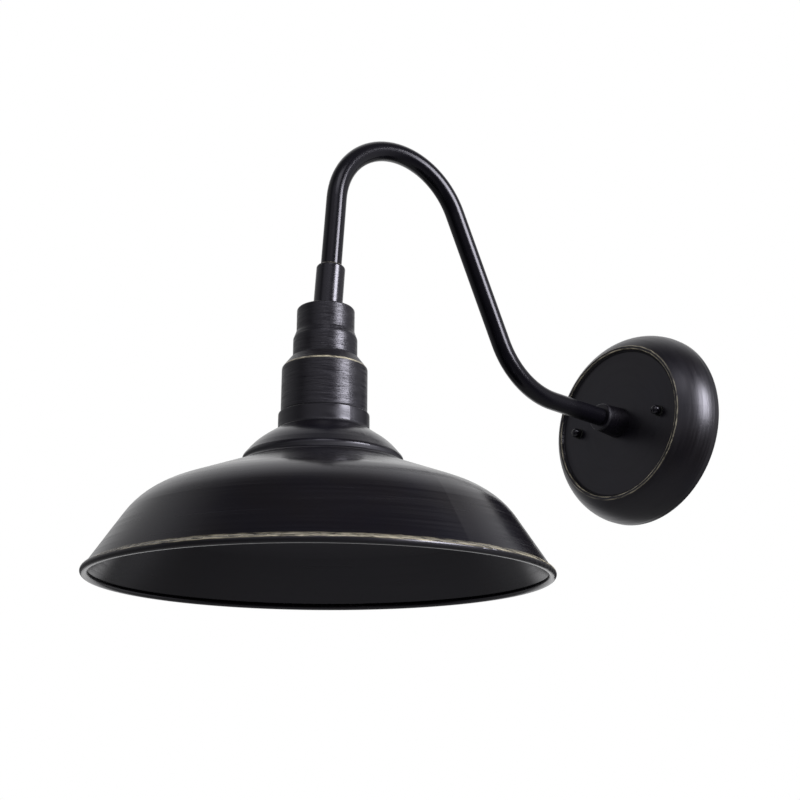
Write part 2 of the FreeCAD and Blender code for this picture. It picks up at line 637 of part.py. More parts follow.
def make_lead(side):
    """One lead from its free end in the canopy, through the arm, to its terminal."""
    x = side * LEAD_X
    tail = chain([Vector(x, -LEAD_TAIL_DEPTH, -LEAD_TAIL), Vector(x, -LEAD_TAIL_DEPTH, 0),
                  Vector(x, -TUBE_START, 0)], [LEAD_TAIL_BEND])
    terminal_x = side * (TERMINAL_R + LEAD_R)
    terminal_y = side * LEAD_TERMINAL_Y
    drop = chain([Vector(x, -PROJECTION, TUBE_END_Z),
                  Vector(x, -PROJECTION, PIVOT_Z + SWIVEL_NIPPLE_END - LEAD_SPREAD),
                  head_point(terminal_x, terminal_y, STRAP_H + STRAP_T + LEAD_OVER_STRAP),
                  head_point(terminal_x, terminal_y, TERMINAL_H - LEAD_PAST_SCREW)], [LEAD_BEND, LEAD_BEND])
    return swept(tail + arm_line(x, TUBE_START, TUBE_END_Z) + drop, LEAD_R)


def main():
    os.makedirs("parts", exist_ok=True)
    save(make_bar(), "mounting_bar")
    save(make_ground_screw(), "ground_screw")
    for name, side in (("left", -1), ("right", 1)):
        x = side * STUD_X
        save(make_stud(x), "canopy_stud_" + name)
        save(make_stud_nut(x), "stud_nut_" + name)
        save(make_seal(x), "nut_washer_" + name)
        save(make_ball_nut(x), "ball_nut_" + name)
    save(make_canopy(), "canopy")
    save(make_hub(), "canopy_hub")
    save(make_canopy_nipple(), "canopy_nipple")
    save(make_back_washer(), "backing_washer")
    save(make_arm_lock_nut(), "arm_lock_nut")
    save(make_wire_bushing(), "wire_bushing")
    save(make_arm(), "gooseneck_arm")
    save(make_ferrule(), "arm_ferrule")
    save(make_swivel_nipple(), "swivel_nipple")
    save(make_seat_washer(), "seat_washer")
    save(make_dome_washer(), "dome_washer")
    save(make_swivel_lock_nut(), "swivel_lock_nut")
    save(make_neck(), "neck")
    save(make_shade(), "shade")
    save(make_strap(), "holder_strap")
    save(make_holder_screws(), "holder_screws")
    save(make_holder(), "lampholder")
    save(make_shell(), "screw_shell")
    save(make_contact(), "centre_contact")
    save(make_contact_rivet(), "contact_rivet")
    save(make_terminal_screw(1), "line_terminal_screw")
    save(make_terminal_screw(-1), "neutral_terminal_screw")
    save(make_lead(1), "line_lead")
    save(make_lead(-1), "neutral_lead")


main()
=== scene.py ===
import math

import bmesh
import bpy
import numpy as np
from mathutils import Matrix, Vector


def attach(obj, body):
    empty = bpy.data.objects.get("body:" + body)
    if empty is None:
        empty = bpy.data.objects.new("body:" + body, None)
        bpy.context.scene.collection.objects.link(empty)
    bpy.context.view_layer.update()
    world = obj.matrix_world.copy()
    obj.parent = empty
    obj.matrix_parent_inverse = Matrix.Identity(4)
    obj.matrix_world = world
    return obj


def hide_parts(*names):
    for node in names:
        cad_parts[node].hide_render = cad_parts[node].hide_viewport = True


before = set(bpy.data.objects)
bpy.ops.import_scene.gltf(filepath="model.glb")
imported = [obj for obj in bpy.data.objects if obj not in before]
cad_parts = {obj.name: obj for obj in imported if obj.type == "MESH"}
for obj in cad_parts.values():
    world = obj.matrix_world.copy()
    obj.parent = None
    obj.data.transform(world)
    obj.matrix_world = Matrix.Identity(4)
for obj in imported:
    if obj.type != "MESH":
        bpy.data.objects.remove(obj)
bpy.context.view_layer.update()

# ---- Studio: camera ----
# A normal lens below the shade's rim and to the right of the canopy, rolled a little, so that the fitting
# is seen as it hangs: from below, with its shade in front.

MM = 0.001
LENS, SENSOR = 52.625, 36.0    # mm
CAMERA_PLACE = (0.63818, -0.72218, -0.31487)   # metres
CAMERA_TURN = (109.333, -3.116, 52.693)        # degrees
scene = bpy.context.scene
scene.view_settings.view_transform = "Standard"
camera_data = bpy.data.cameras.new("camera")
camera_data.sensor_width = SENSOR
camera_data.lens = LENS
camera = bpy.data.objects.new("camera", camera_data)
scene.collection.objects.link(camera)
camera.location = CAMERA_PLACE
camera.rotation_euler = [math.radians(angle) for angle in CAMERA_TURN]
scene.camera = camera

# ---- Studio: light, background and floor ----
# A tall softbox on the right, a weak one above the camera and a dim room with white paper behind the
# object.  Dark lacquer mirrors the room, so the room is darker in front and below than behind.

AIM = Vector((0, -0.25, -0.05))
SOFTBOX_SPREAD = math.radians(80)
# A zone of the room: the way to its middle, the cosines at its edge and where it is full, and its level.
PAPER = [((-0.58, 0.41, 0.71), 0.6, 1.0, 1.0), ((-0.82, 0.54, -0.20), 0.84, 0.97, 1.0)]
WALLS = [((-0.86, -0.48, 0.15), 0.55, 0.9, 0.3), ((0.52, -0.78, 0.34), 0.78, 0.95, 0.55),
         ((0.25, 0.95, 0.05), 0.6, 0.97, 0.45)]
ROOM_BELOW, ROOM_ABOVE = 0.035, 0.10
ROOM_EDGES = (-0.25, 0.1)      # sines of the angles between which the room gets lighter
PAPER_ON_MATTE = 0.45          # level of the paper for rays that aren't mirrored
FLOOR_HALF, FLOOR_Z = 2.4, -0.95         # metres
FADE_FROM, FADE_TO = 0.7, 1.9  # metres from the object's axis over which the floor goes clear
CAMERA_LIFT, MIRROR_LIFT = 0.7, 0.04     # shares of plain white in the floor as it is seen and mirrored


def linear(colour):
    """Linear RGBA of an sRGB hex colour: each channel c becomes ((c + 0.055) / 1.055) ** 2.4, or c / 12.92
    below 0.04045."""
    channels = [int(colour[i:i + 2], 16) / 255 for i in (1, 3, 5)]
    return [c / 12.92 if c <= 0.04045 else ((c + 0.055) / 1.055) ** 2.4 for c in channels] + [1.0]


def add(tree, kind, inputs=None, **settings):
    """Adds a node with its settings; each input is a value or the socket that it is linked from.  A Map
    Range node's inputs are 0 value, 1 and 2 the range it comes from, 3 and 4 the range it goes to."""
    node = tree.nodes.new(kind)
    for name, value in settings.items():
        setattr(node, name, value)
    for socket, value in (inputs or {}).items():
        if isinstance(value, bpy.types.NodeSocket):
            tree.links.new(value, node.inputs[socket])
        else:
            node.inputs[socket].default_value = value
    return node


def softbox(name, toward, distance, width, height, radiance):
    """A rectangular lamp that faces AIM from a direction; its power is pi * area * radiance, which its
    spread then gathers into a narrower cone."""
    data = bpy.data.lights.new(name, "AREA")
    data.shape = "RECTANGLE"
    data.size = width
    data.size_y = height
    data.energy = math.pi * width * height * radiance
    data.spread = SOFTBOX_SPREAD
    lamp = bpy.data.objects.new(name, data)
    scene.collection.objects.link(lamp)
    way = Vector(toward).normalized()
    lamp.location = AIM + way * distance
    lamp.rotation_mode = "QUATERNION"
    lamp.rotation_quaternion = (-way).to_track_quat("-Z", "Y")


def rays(tree):
    """Light Path's camera ray, and the larger of its glossy and transmission rays, for which metal and
    glass show the background too."""
    ray = add(tree, "ShaderNodeLightPath").outputs
    mirrored = add(tree, "ShaderNodeMath", {0: ray["Is Glossy Ray"], 1: ray["Is Transmission Ray"]},
                   operation="MAXIMUM").outputs[0]
    return ray["Is Camera Ray"], mirrored


softbox("right_softbox", (0.88, 0.27, 0.37), distance=1.6, width=0.6, height=0.8, radiance=5.0)
softbox("top_softbox", (0.58, -0.42, 0.70), distance=2.0, width=0.9, height=0.7, radiance=0.5)

world = bpy.data.worlds.new("studio")
scene.world = world
world.use_nodes = True
tree = world.node_tree
tree.nodes.clear()
camera_ray, mirrored = rays(tree)
toward = add(tree, "ShaderNodeTexCoord").outputs["Generated"]
up = add(tree, "ShaderNodeSeparateXYZ", {0: toward}).outputs[2]
zones = []
for way, edge, full, most in PAPER + WALLS:
    facing = add(tree, "ShaderNodeVectorMath", {0: toward, 1: Vector(way).normalized()},
                 operation="DOT_PRODUCT").outputs["Value"]
    zones.append(add(tree, "ShaderNodeMapRange", {0: facing, 1: edge, 2: full, 3: 0.0, 4: most},
                     interpolation_type="SMOOTHSTEP").outputs[0])
room = add(tree, "ShaderNodeMapRange", {0: up, 1: ROOM_EDGES[0], 2: ROOM_EDGES[1], 3: ROOM_BELOW,
                                        4: ROOM_ABOVE}).outputs[0]
for wall in zones[len(PAPER):]:
    room = add(tree, "ShaderNodeMath", {0: room, 1: wall}, operation="ADD").outputs[0]
paper = add(tree, "ShaderNodeMath", {0: zones[0], 1: zones[1]}, operation="MAXIMUM").outputs[0]
paper_level = add(tree, "ShaderNodeMapRange", {0: mirrored, 1: 0.0, 2: 1.0, 3: PAPER_ON_MATTE,
                                               4: 1.0}).outputs[0]
lit_paper = add(tree, "ShaderNodeMath", {0: paper, 1: paper_level}, operation="MULTIPLY").outputs[0]
level = add(tree, "ShaderNodeMath", {0: room, 1: lit_paper}, operation="MAXIMUM").outputs[0]
level = add(tree, "ShaderNodeMath", {0: level, 1: camera_ray}, operation="MAXIMUM").outputs[0]
light = add(tree, "ShaderNodeBackground", {"Color": linear("#ffffff"), "Strength": level})
add(tree, "ShaderNodeOutputWorld", {0: light.outputs[0]})

floor_mesh = bpy.data.meshes.new("floor")
floor_mesh.from_pydata([(-FLOOR_HALF, -FLOOR_HALF, FLOOR_Z), (FLOOR_HALF, -FLOOR_HALF, FLOOR_Z),
                        (FLOOR_HALF, FLOOR_HALF, FLOOR_Z), (-FLOOR_HALF, FLOOR_HALF, FLOOR_Z)],
                       [], [(0, 1, 2, 3)])
floor = bpy.data.objects.new("floor", floor_mesh)
scene.collection.objects.link(floor)
floor_paint = bpy.data.materials.new("pale_floor")
floor_paint.use_nodes = True
tree = floor_paint.node_tree
tree.nodes.clear()
spot = add(tree, "ShaderNodeTexCoord").outputs["Object"]
flat_spot = add(tree, "ShaderNodeVectorMath", {0: spot, 1: (1, 1, 0)}, operation="MULTIPLY").outputs[0]
far = add(tree, "ShaderNodeVectorMath", {0: flat_spot}, operation="LENGTH").outputs["Value"]
fade = add(tree, "ShaderNodeMapRange", {0: far, 1: FADE_FROM, 2: FADE_TO, 3: 0.0, 4: 1.0},
           interpolation_type="SMOOTHSTEP").outputs[0]
under = add(tree, "ShaderNodeNewGeometry").outputs["Backfacing"]
gone = add(tree, "ShaderNodeMath", {0: fade, 1: under}, operation="MAXIMUM").outputs[0]
matte = add(tree, "ShaderNodeBsdfDiffuse", {"Color": linear("#c6c6c3")})
camera_ray, mirrored = rays(tree)
lift = add(tree, "ShaderNodeMath", {0: mirrored, 1: MIRROR_LIFT}, operation="MULTIPLY").outputs[0]
lift = add(tree, "ShaderNodeMath", {0: camera_ray, 1: CAMERA_LIFT, 2: lift},
           operation="MULTIPLY_ADD").outputs[0]
glow = add(tree, "ShaderNodeEmission", {"Color": linear("#ffffff"), "Strength": 1.0})
lifted = add(tree, "ShaderNodeMixShader", {0: lift, 1: matte.outputs[0], 2: glow.outputs[0]})
clear = add(tree, "ShaderNodeBsdfTransparent")
seen = add(tree, "ShaderNodeMixShader", {0: gone, 1: lifted.outputs[0], 2: clear.outputs[0]})
add(tree, "ShaderNodeOutputMaterial", {0: seen.outputs[0]})
floor_mesh.materials.append(floor_paint)

# ---- Crossbar on the wall box, with its earth screw ----
# A cross stamped from 2 mm steel and zinc plated, which two box screws hold through its slots.  The earth
# screw is green, with a hexagon head and a saw slot.


def shader_tree(name, **sockets):
    """A new material with a Principled shader whose constant sockets are set; gives material, tree, shader
    and the Object coordinates."""
    material = bpy.data.materials.new(name)
    material.use_nodes = True
    tree = material.node_tree
    tree.nodes.clear()
    shader = add(tree, "ShaderNodeBsdfPrincipled",
                 {socket.replace("_", " "): value for socket, value in sockets.items()})
    add(tree, "ShaderNodeOutputMaterial", {0: shader.outputs[0]})
    return material, tree, shader, add(tree, "ShaderNodeTexCoord").outputs["Object"]


def mottled(name, light_colour, dark_colour, patch, grain, roughness, bump, **sockets):
    """Two tones in soft patches, with a grain that varies gloss between two roughnesses and height by bump.
    Real grain is finer than 0.1 mm and is drawn coarser, so that it shows.  Noise lies mostly between 0.3
    and 0.7, so about that range is stretched to the whole."""
    material, tree, shader, spot = shader_tree(name, **sockets)
    patches = add(tree, "ShaderNodeTexNoise", {"Vector": spot, "Scale": 1 / patch, "Detail": 3.0}).outputs[0]
    tone = add(tree, "ShaderNodeMapRange", {0: patches, 1: 0.32, 2: 0.68, 3: 0.0, 4: 1.0}).outputs[0]
    colour = add(tree, "ShaderNodeMix", {"Factor": tone, "A": linear(light_colour), "B": linear(dark_colour)},
                 data_type="RGBA").outputs["Result"]
    grains = add(tree, "ShaderNodeTexNoise", {"Vector": spot, "Scale": 1 / grain, "Detail": 4.0,
                                              "Roughness": 0.6}).outputs[0]
    gloss = add(tree, "ShaderNodeMapRange", {0: grains, 1: 0.3, 2: 0.7, 3: roughness[0], 4: roughness[1]})
    relief = add(tree, "ShaderNodeBump", {"Strength": 1.0, "Distance": bump, "Height": grains})
    tree.links.new(colour, shader.inputs["Base Color"])
    tree.links.new(gloss.outputs[0], shader.inputs["Roughness"])
    tree.links.new(relief.outputs[0], shader.inputs["Normal"])
    return material


def dress(material, *nodes):
    """Gives each CAD node's object one material."""
    for node in nodes:
        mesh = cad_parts[node].data
        mesh.materials.clear()
        mesh.materials.append(material)


SHARP_ANGLE = math.radians(35)


def piece(name, parts, material, body, replaced):
    """Joins (vertices, faces) parts into one smooth-shaded object that stands for the replaced node.
    Edges between faces that meet at more than SHARP_ANGLE stay sharp."""
    vertices, faces, start = [], [], 0
    for part_vertices, part_faces in parts:
        vertices.append(part_vertices)
        faces += [tuple(index + start for index in face) for face in part_faces]
        start += len(part_vertices)
    mesh = bpy.data.meshes.new(name)
    mesh.from_pydata(np.concatenate(vertices).tolist(), [], faces)
    mesh.shade_smooth()
    mesh.set_sharp_from_angle(angle=SHARP_ANGLE)
    mesh.materials.append(material)
    made = bpy.data.objects.new(name, mesh)
    scene.collection.objects.link(made)
    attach(made, body)
    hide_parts(replaced)


def skin(rows, closed):
    """Closed surface over rows of points, each row a loop seen anticlockwise from the last row's side.
    Rows are joined in turn; a closed surface joins its last row to its first, and otherwise each end is
    filled by a fan to its middle point."""
    count, side = rows.shape[:2]
    grid = rows.reshape(-1, 3)
    row = np.arange(count if closed else count - 1)[:, None]
    here = np.arange(side)[None, :]
    after, beside = (row + 1) % count, (here + 1) % side
    faces = np.stack([row * side + here, row * side + beside, after * side + beside, after * side + here],
                     -1).reshape(-1, 4).tolist()
    if not closed:
        grid = np.concatenate([grid, rows[0].mean(0)[None], rows[-1].mean(0)[None]])
        first, last, here = count * side, (count - 1) * side, np.arange(side)
        beside = (here + 1) % side
        faces += np.stack([np.full(side, first), beside, here], -1).tolist()
        faces += np.stack([np.full(side, first + 1), last + here, last + beside], -1).tolist()
    return grid, faces


def turned(radii, heights, closed, sides=40, ripple=None):
    """Turned surface about Z: row i is a circle of radius radii[i] at heights[i], less ripple(turns,
    heights, rows), where turns is the angle as a share of a whole turn."""
    turns = np.arange(sides)[None, :] / sides
    radius = np.repeat(np.asarray(radii, float)[:, None], sides, 1)
    height = np.repeat(np.asarray(heights, float)[:, None], sides, 1)
    if ripple is not None:
        radius = radius - ripple(turns, height, np.arange(len(radius))[:, None])
    return skin(np.stack([radius * np.cos(2 * np.pi * turns), radius * np.sin(2 * np.pi * turns), height],
                         -1), closed)


def slotted_head(half_width, reach, low, high, slot, depth, edge):
    """Screw head with a saw slot along X.  Each slice across Y, from -reach to reach, is a rectangle with
    two chamfered corners: its half width is half_width(y), and its top is lower by depth on the two slices
    inside the slot."""
    slices = 9
    wing = np.linspace(slot / 2, reach, slices)
    y = np.concatenate([-wing[::-1], [-slot / 2, slot / 2], wing])
    width = half_width(y)
    top = np.full(len(y), high)
    top[[slices, slices + 1]] -= depth
    bevel = np.minimum(edge, width / 2)
    x = np.stack([-width, -width, bevel - width, width - bevel, width, width], -1)
    z = np.stack([np.full(len(y), low), top - edge, top, top, top - edge, np.full(len(y), low)], -1)
    return skin(np.stack([x, np.repeat(y[:, None], x.shape[1], 1), z], -1), closed=False)


def on_wall(part, x=0.0):
    """Turns a part so that its Z axis points out of the wall (-Y), through a point x along the wall."""
    vertices, faces = part
    return np.stack([vertices[:, 0] + x, -vertices[:, 2], vertices[:, 1]], -1), faces


# Zinc plate over stamped or turned steel: bluish grey with a soft metallic sheen and faint mottling.
zinc = mottled("zinc_plated_steel", "#c3c6c8", "#a3a6a6", patch=9 * MM, grain=0.5 * MM,
               roughness=(0.28, 0.42), bump=0.006 * MM, Metallic=1.0)
# Green chromate on steel, as on every earth screw: a clear green over a metallic sheen.
green_plate = mottled("green_chromate_steel", "#2f8a4c", "#1d6437", patch=3 * MM, grain=0.4 * MM,
                      roughness=(0.3, 0.42), bump=0.004 * MM, Metallic=0.75)
dress(zinc, "mounting_bar", "stud_nut_left", "stud_nut_right")

BAR_T = 2.0 * MM
EARTH_X, EARTH_R, EARTH_HEAD_R, EARTH_TOP = 29.0 * MM, 2.4 * MM, 4.6 * MM, 4.8 * MM
EARTH_FLANGE_T, EARTH_ROUND = 0.8 * MM, 0.3 * MM
EARTH_SLOT, EARTH_SLOT_DEPTH, EARTH_EDGE = 1.1 * MM, 1.1 * MM, 0.25 * MM
HEX_R = 0.88 * EARTH_HEAD_R    # so that the hexagon stands inside its flange


def hexagon_width(y):
    """Half width of a hexagon with two corners on the X axis: it falls by 1/sqrt(3) per unit of y."""
    return HEX_R - np.abs(y) / math.sqrt(3)


flange_edge = EARTH_HEAD_R - EARTH_ROUND
earth_shank = turned([EARTH_R, EARTH_R, flange_edge, EARTH_HEAD_R, flange_edge],
                     [0, BAR_T, BAR_T, BAR_T + 0.4 * EARTH_FLANGE_T, BAR_T + EARTH_FLANGE_T],
                     closed=False)
earth_head = slotted_head(hexagon_width, math.sqrt(3) / 2 * HEX_R, BAR_T + EARTH_FLANGE_T / 2, EARTH_TOP,
                          EARTH_SLOT, EARTH_SLOT_DEPTH, EARTH_EDGE)
piece("earth_screw", [on_wall(earth_shank, EARTH_X), on_wall(earth_head, EARTH_X)], green_plate,
      "wall_unit", "ground_screw")

# ---- Studs that carry the canopy ----
# Two 8-32 studs with rolled threads, zinc plated.  Each is screwed into the crossbar and locked by a nut.

STUD_X, STUD_R, STUD_PITCH, STUD_THREAD = 44.45 * MM, 2.085 * MM, 0.79375 * MM, 0.42 * MM
STUD_TIP, STUD_LEAD_IN = 34.2 * MM, 0.4 * MM
ROWS_PER_PITCH = 6


def thread(pitch, depth, first, last):
    """Ripple of a 60 degree right-hand thread on rows first to last: depth times a triangle wave of
    height / pitch less the share of a turn."""
    def ripple(turns, height, row):
        wave = np.abs((height / pitch - turns) % 1.0 * 2 - 1)
        return depth * wave * ((row >= first) & (row <= last))
    return ripple


# The thread's rows lie between plain rows at both ends.
run = np.arange(2 * STUD_LEAD_IN, STUD_TIP - 1.5 * STUD_LEAD_IN, STUD_PITCH / ROWS_PER_PITCH)
heights = np.concatenate([[0, STUD_LEAD_IN], run, [STUD_TIP - STUD_LEAD_IN, STUD_TIP]])
radii = np.full(len(heights), STUD_R)
radii[[0, -1]] -= STUD_THREAD
stud = turned(radii, heights, closed=False, sides=32,
              ripple=thread(STUD_PITCH, STUD_THREAD, first=2, last=len(heights) - 3))
for side, x in (("left", -STUD_X), ("right", STUD_X)):
    piece("stud_thread_" + side, [on_wall(stud, x)], zinc, "wall_unit", "canopy_stud_" + side)

# ---- Canopy, hub and ball nuts ----
# Spun steel pan with a raised ring, and turned brass nuts and hub, all under rubbed black lacquer.  The
# lacquer went on while the piece turned, and it is rubbed through to the brassy plating along its edges.

BLACK_TINT = (0.88, 0.86, 1.0, 1.0)      # the lacquer's gloss is a little blue
# The second colour is painted shade: the dull circles darken the lacquer towards it in creases and recesses.
PLATING, DULL_SHADE_COLOUR = "#ece2c8", "#050505"
PLATING_METAL = 0.6            # thin lacquer is left on the plating
STROKE_SLANT, STROKES_ROUND = -0.6, 1.3  # share of radius in a stroke's place; its change round the piece
CLOUDS_PER_METRE, FLECKS_PER_METRE = 16, 900       # clouds 60 mm wide, and flecks 1 mm
DULL_ROUGHER, PLATING_ROUGHER = 0.6, 0.15


def rubbed_black(name, centre, turn, worn=(), dull=(), pitch=2.0 * MM, stroke=0.05 * MM, gloss=(0.24, 0.4),
                 breaks=6.0):
    """Black lacquer for a piece turned on the Z axis of its own frame, whose origin is at centre and whose
    axes are rotated by turn.  worn lists circles (radius, height, reach, share) rubbed to the plating, and
    dull those made darker and rougher, mostly painted shade in creases, recesses and under edges; a circle
    fades out over its reach from the share at its middle.
    Strokes are noise in height less 0.6 radius, which hardly changes round the piece; wear is broken into
    streaks, about breaks of them per radian."""
    material, tree, shader, spot = shader_tree(name, IOR=1.5, Specular_Tint=BLACK_TINT)
    own = add(tree, "ShaderNodeMapping", {"Vector": spot, "Location": centre, "Rotation": turn},
              vector_type="TEXTURE").outputs[0]
    height = add(tree, "ShaderNodeSeparateXYZ", {0: own}).outputs[2]
    flat = add(tree, "ShaderNodeVectorMath", {0: own, 1: (1, 1, 0)}, operation="MULTIPLY").outputs[0]
    radius = add(tree, "ShaderNodeVectorMath", {0: flat}, operation="LENGTH").outputs["Value"]
    around = add(tree, "ShaderNodeVectorMath", {0: flat}, operation="NORMALIZE").outputs[0]
    along = add(tree, "ShaderNodeMath", {0: radius, 1: STROKE_SLANT, 2: height},
                operation="MULTIPLY_ADD").outputs[0]
    pitches = add(tree, "ShaderNodeMath", {0: along, 1: 1 / pitch}, operation="MULTIPLY").outputs[0]
    lift = add(tree, "ShaderNodeCombineXYZ", {2: pitches}).outputs[0]
    stroke_at = add(tree, "ShaderNodeVectorMath", {0: around, 1: (STROKES_ROUND,) * 3, 2: lift},
                    operation="MULTIPLY_ADD").outputs[0]
    strokes = add(tree, "ShaderNodeTexNoise", {"Vector": stroke_at, "Scale": 1.0, "Detail": 3.0,
                                               "Roughness": 0.65}).outputs[0]
    clouds = add(tree, "ShaderNodeTexNoise", {"Vector": own, "Scale": CLOUDS_PER_METRE,
                                              "Detail": 3.0}).outputs[0]
    across = add(tree, "ShaderNodeCombineXYZ", {0: radius, 1: height}).outputs[0]
    across = add(tree, "ShaderNodeVectorMath", {0: across, 1: (FLECKS_PER_METRE, FLECKS_PER_METRE, 0)},
                 operation="MULTIPLY").outputs[0]
    fleck_at = add(tree, "ShaderNodeVectorMath", {0: around, 1: (breaks,) * 3, 2: across},
                   operation="MULTIPLY_ADD").outputs[0]
    flecks = add(tree, "ShaderNodeTexNoise", {"Vector": fleck_at, "Scale": 1.0, "Detail": 3.0,
                                              "Roughness": 0.6}).outputs[0]
    tone = add(tree, "ShaderNodeMapRange", {0: clouds, 1: 0.35, 2: 0.65, 3: 0.0, 4: 1.0}).outputs[0]
    colour = add(tree, "ShaderNodeMix", {"Factor": tone, "A": linear("#0a0912"), "B": linear("#0e0b0e")},
                 data_type="RGBA").outputs["Result"]
    rough = add(tree, "ShaderNodeMapRange", {0: strokes, 1: 0.3, 2: 0.7, 3: gloss[0], 4: gloss[1]}).outputs[0]

    def nearness(circles):
        """Largest of the circles' shares, each of which fades smoothly to 0 at its reach, or None."""
        near = None
        for circle_radius, circle_height, reach, share in circles:
            out = add(tree, "ShaderNodeMath", {0: radius, 1: circle_radius}, operation="SUBTRACT").outputs[0]
            rise = add(tree, "ShaderNodeMath", {0: height, 1: circle_height},
                       operation="SUBTRACT").outputs[0]
            offset = add(tree, "ShaderNodeCombineXYZ", {0: out, 1: rise}).outputs[0]
            away = add(tree, "ShaderNodeVectorMath", {0: offset}, operation="LENGTH").outputs["Value"]
            one = add(tree, "ShaderNodeMapRange", {0: away, 1: reach, 2: 0.0, 3: 0.0, 4: share},
                      interpolation_type="SMOOTHSTEP").outputs[0]
            near = one if near is None else add(tree, "ShaderNodeMath", {0: near, 1: one},
                                                operation="MAXIMUM").outputs[0]
        return near

    dull_shade, wear = nearness(dull), nearness(worn)
    # Painted shade: the dull circles darken the colour to near black, and they also make the lacquer rougher.
    if dull_shade:
        rough = add(tree, "ShaderNodeMath", {0: dull_shade, 1: DULL_ROUGHER, 2: rough},
                    operation="MULTIPLY_ADD", use_clamp=True).outputs[0]
        colour = add(tree, "ShaderNodeMix", {"Factor": dull_shade, "A": colour, "B": linear(DULL_SHADE_COLOUR)},
                     data_type="RGBA").outputs["Result"]
    if wear:
        # Flecks break the wear into streaks, and clouds halve it in places.
        streaks = add(tree, "ShaderNodeMapRange", {0: flecks, 1: 0.38, 2: 0.62, 3: 0.0, 4: 1.2}).outputs[0]
        patches = add(tree, "ShaderNodeMapRange", {0: clouds, 1: 0.38, 2: 0.6, 3: 0.5, 4: 1.0}).outputs[0]
        bare = add(tree, "ShaderNodeMath", {0: wear, 1: streaks}, operation="MULTIPLY",
                   use_clamp=True).outputs[0]
        bare = add(tree, "ShaderNodeMath", {0: bare, 1: patches}, operation="MULTIPLY").outputs[0]
        colour = add(tree, "ShaderNodeMix", {"Factor": bare, "A": colour, "B": linear(PLATING)},
                     data_type="RGBA").outputs["Result"]
        plated = add(tree, "ShaderNodeMath", {0: bare, 1: PLATING_METAL}, operation="MULTIPLY").outputs[0]
        tree.links.new(plated, shader.inputs["Metallic"])
        rough = add(tree, "ShaderNodeMath", {0: bare, 1: PLATING_ROUGHER, 2: rough},
                    operation="MULTIPLY_ADD").outputs[0]
    relief = add(tree, "ShaderNodeBump", {"Strength": 1.0, "Distance": stroke, "Height": strokes})
    tree.links.new(colour, shader.inputs["Base Color"])
    tree.links.new(rough, shader.inputs["Roughness"])
    tree.links.new(relief.outputs[0], shader.inputs["Normal"])
    return material


OUT_OF_WALL = (math.radians(90), 0, 0)
# The crest and outer shoulder of the canopy's raised ring are worn; its inner foot has painted shade.
RING_CREST, RING_SHOULDER = (63.4 * MM, 31.5 * MM, 1.0 * MM, 1.0), (65.9 * MM, 31.4 * MM, 0.8 * MM, 0.45)
RING_FOOT = (61.8 * MM, 28.6 * MM, 1.2 * MM, 0.8)
# The hub's mouth, where the arm goes in, is darker and rougher: painted shade in the recess.
HUB_MOUTH = (11.3 * MM, 48.8 * MM, 1.0 * MM, 0.8)
# Rubbed lacquer on spun steel: near-black satin with faint rings and a thin gold line on the ring.
dress(rubbed_black("canopy_lacquer", (0, 0, 0), OUT_OF_WALL, worn=[RING_CREST, RING_SHOULDER],
                   dull=[RING_FOOT], gloss=(0.28, 0.42), breaks=9.0), "canopy")
# The same on turned brass: finer rings, and on the small nuts a brighter gloss.
dress(rubbed_black("hub_lacquer", (0, 0, 0), OUT_OF_WALL, dull=[HUB_MOUTH], pitch=1.2 * MM,
                   stroke=0.02 * MM), "canopy_hub")
for side, x in (("left", -STUD_X), ("right", STUD_X)):
    dress(rubbed_black("ball_nut_lacquer_" + side, (x, 0, 0), OUT_OF_WALL, pitch=1.0 * MM,
                       stroke=0.01 * MM, gloss=(0.16, 0.26)), "ball_nut_" + side)
# Moulded rubber: matt black, which seals the stud holes.
rubber = mottled("black_rubber", "#1d1d1c", "#151515", patch=4 * MM, grain=0.3 * MM,
                 roughness=(0.7, 0.9), bump=0.01 * MM, IOR=1.52)
dress(rubber, "nut_washer_left", "nut_washer_right")

# ---- Nipple that clamps the hub to the canopy ----
# A 1/8-27 running-thread pipe nipple with a washer and a hexagon lock nut, zinc plated, and a nylon
# bushing on its inner end so that the leads don't chafe.

PIPE_R, PIPE_BORE, PIPE_PITCH, PIPE_THREAD = 5.1 * MM, 3.6 * MM, 0.9407 * MM, 0.5 * MM
PIPE_LEAD_IN = 0.6 * MM
NIPPLE_LOW, NIPPLE_HIGH = 13.6 * MM, 37.7 * MM


def threaded_pipe(low, high):
    """Pipe with a thread on its whole outside, between two heights."""
    run = np.arange(low + PIPE_LEAD_IN, high - PIPE_LEAD_IN, PIPE_PITCH / ROWS_PER_PITCH)
    heights = np.concatenate([[low, low], run, [high, high]])
    radii = np.full(len(heights), PIPE_R)
    radii[[0, -1]] = PIPE_BORE
    radii[[1, -2]] -= PIPE_THREAD
    return turned(radii, heights, closed=True, sides=48,
                  ripple=thread(PIPE_PITCH, PIPE_THREAD, first=2, last=len(heights) - 3))


piece("nipple_thread", [on_wall(threaded_pipe(NIPPLE_LOW, NIPPLE_HIGH))], zinc, "wall_unit",
      "canopy_nipple")
dress(zinc, "backing_washer", "arm_lock_nut")
# Moulded nylon: a black plastic with a faint satin sheen.
nylon = mottled("black_nylon", "#1a1a1b", "#121213", patch=5 * MM, grain=0.4 * MM,
                roughness=(0.42, 0.55), bump=0.004 * MM, IOR=1.53)
dress(nylon, "wire_bushing")

# ---- Arm and ferrule ----
# Steel tube bent on two formers and a turned end piece, under the same rubbed lacquer.  The tube was
# rubbed along its length, so its sheen has no rings.

PIVOT = Vector((0, -322.0 * MM, -7.1 * MM))
FERRULE_TOP_EDGE = (9.6 * MM, 51.6 * MM, 0.8 * MM, 0.4)
# Lacquer on drawn tube: smoother than on the spun pieces, with one narrow line of light.
dress(mottled("arm_lacquer", "#0d0c12", "#0b0a0f", patch=14 * MM, grain=20 * MM, roughness=(0.2, 0.23),
              bump=0.002 * MM, IOR=1.45, Specular_IOR_Level=0.36, Specular_Tint=BLACK_TINT),
      "gooseneck_arm")
